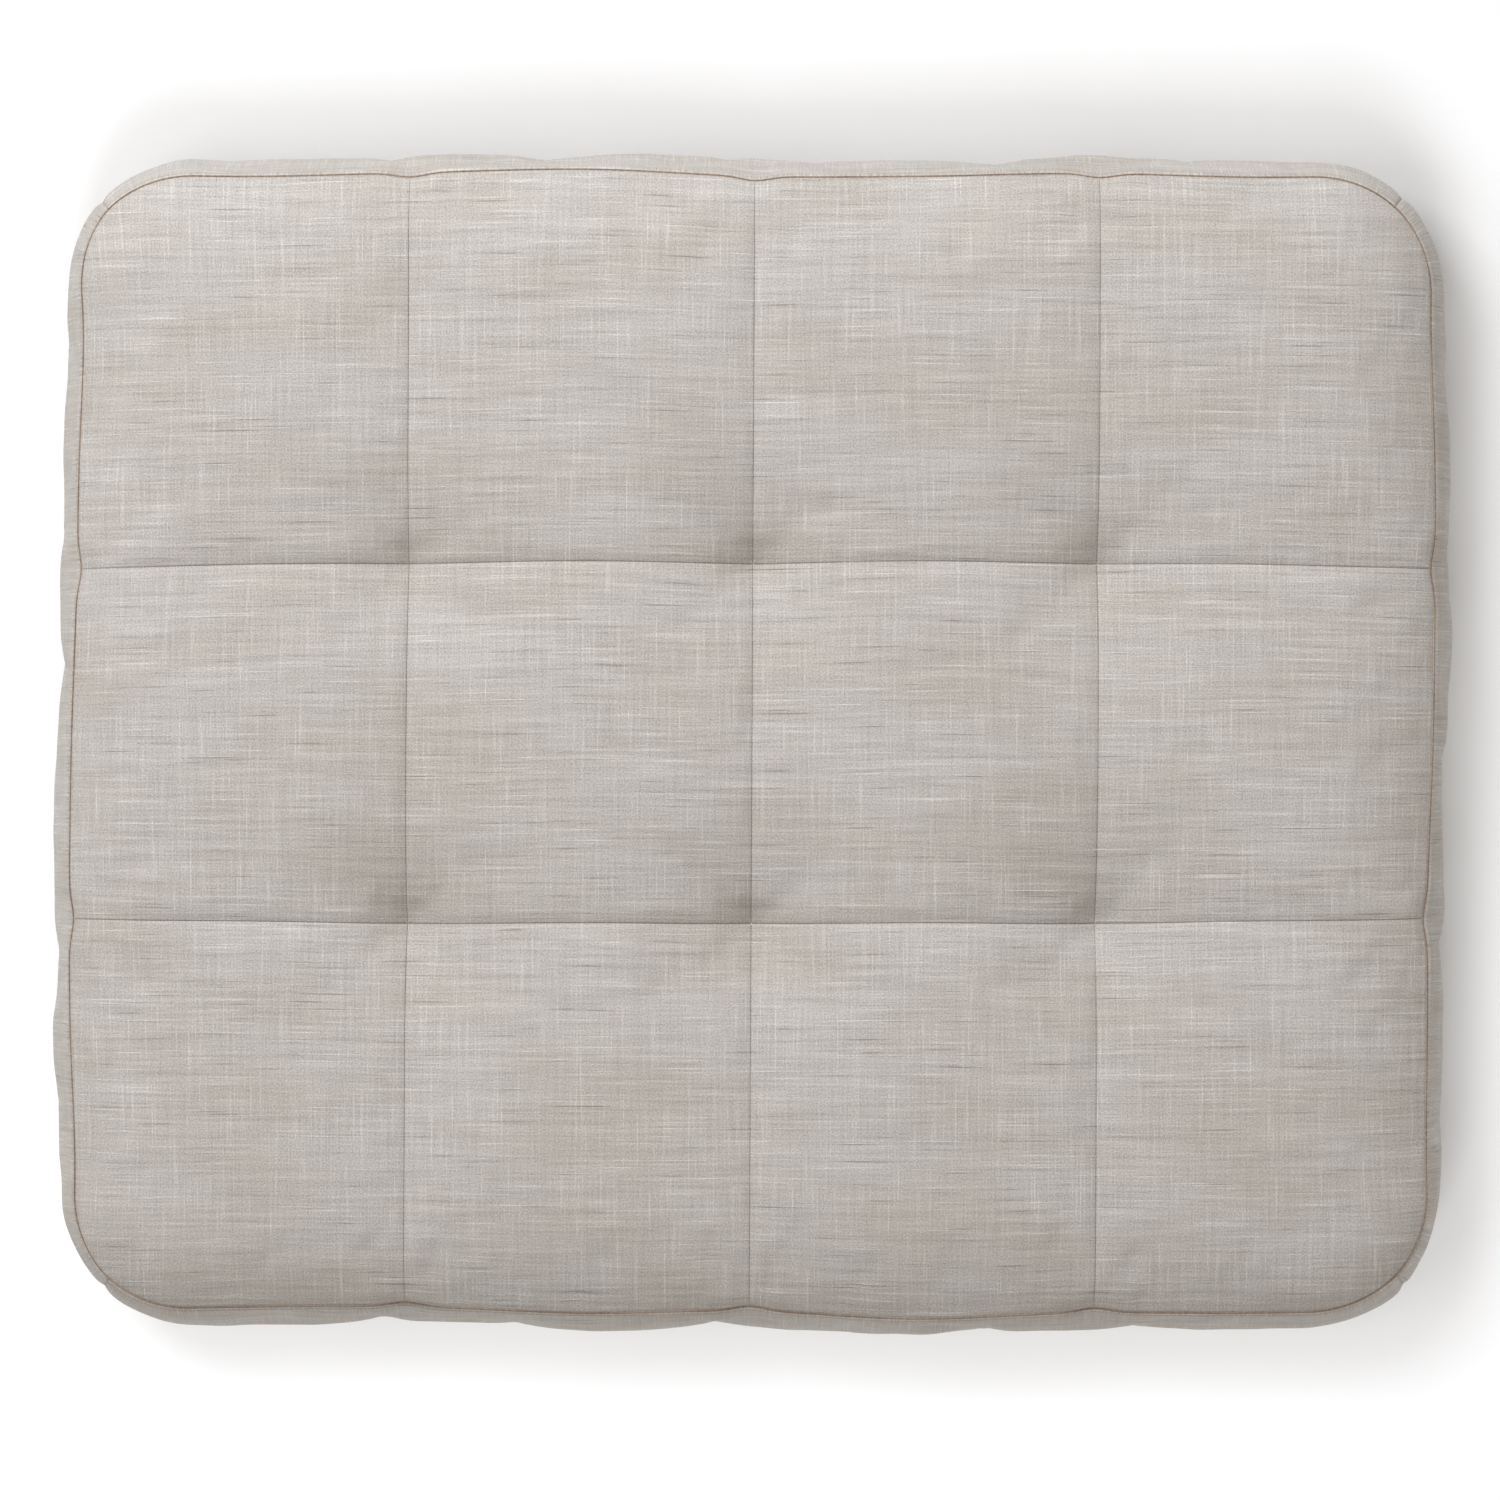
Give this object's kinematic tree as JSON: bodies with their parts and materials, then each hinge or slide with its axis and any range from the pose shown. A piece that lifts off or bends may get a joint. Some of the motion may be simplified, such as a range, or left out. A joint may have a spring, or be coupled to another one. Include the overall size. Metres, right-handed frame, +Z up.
{
  "type": "chair seat pad",
  "caption": "Boxed seat pad, rectangular with round corners: a grid-seamed top tied down at its seam crossings, plain sides and underside, and a zip in the back edge.",
  "frame": {"origin": "under the middle of the pad, on the plane that the pad lies on", "axes": "+X to the right of someone sitting on it and along its longer side, +Y to its back edge, +Z up"},
  "size_m": [0.6, 0.505, 0.095],
  "materials": {
    "top_linen": "pale greige slub linen weave",
    "side_linen": "pale greige slub linen weave",
    "bottom_linen": "pale greige slub linen weave",
    "button_linen": "pale greige slub linen weave over a button mould",
    "twine": "waxed twine",
    "fibre": "white polyester fibre",
    "foam": "cream cut foam",
    "brown_thread": "brown sewing thread",
    "seam_thread": "taupe sewing thread",
    "zip_tape": "woven tape",
    "zip_coil": "moulded nylon",
    "zip_metal": "satin"
  },
  "bodies": {
    "pad": {"bottom_panel": "bottom_linen", "bottom_seam_thread": "seam_thread", "column_seam_thread_1": "seam_thread", "column_seam_thread_2": "seam_thread", "column_seam_thread_3": "seam_thread", "fibre_bottom": "fibre", "fibre_side": "fibre", "fibre_top": "fibre", "foam_core": "foam", "row_seam_threads_1": "seam_thread", "row_seam_threads_2": "seam_thread", "side_strip_back_lower": "side_linen", "side_strip_back_upper": "side_linen", "side_strip_front": "side_linen", "side_strip_left": "side_linen", "side_strip_right": "side_linen", "top_piece_r1c1": "top_linen", "top_piece_r1c2": "top_linen", "top_piece_r1c3": "top_linen", "top_piece_r1c4": "top_linen", "top_piece_r2c1": "top_linen", "top_piece_r2c2": "top_linen", "top_piece_r2c3": "top_linen", "top_piece_r2c4": "top_linen", "top_piece_r3c1": "top_linen", "top_piece_r3c2": "top_linen", "top_piece_r3c3": "top_linen", "top_piece_r3c4": "top_linen", "top_seam_thread": "brown_thread", "tuft_button_1": "button_linen", "tuft_button_2": "button_linen", "tuft_button_3": "button_linen", "tuft_button_4": "button_linen", "tuft_button_5": "button_linen", "tuft_button_6": "button_linen", "tuft_tie_1": "twine", "tuft_tie_2": "twine", "tuft_tie_3": "twine", "tuft_tie_4": "twine", "tuft_tie_5": "twine", "tuft_tie_6": "twine", "zip_coil_lower": "zip_coil", "zip_coil_upper": "zip_coil", "zip_stop_closed": "zip_metal", "zip_stop_open": "zip_metal", "zip_tape_lower": "zip_tape", "zip_tape_upper": "zip_tape"},
    "zip_slider": {"zip_slider": "zip_metal"},
    "zip_pull": {"zip_pull": "zip_metal"}
  },
  "joints": [
    {"name": "zip_slide", "type": "slide", "parent": "pad", "child": "zip_slider", "axis": [-1, 0, 0], "range_m": [0, 0.3947]},
    {"name": "zip_pull_hinge", "type": "hinge", "parent": "zip_slider", "child": "zip_pull", "pos_m": [0.2067, 0.24975, 0.03], "axis": [0, 0, -1], "range_deg": [0, 150]}
  ]
}
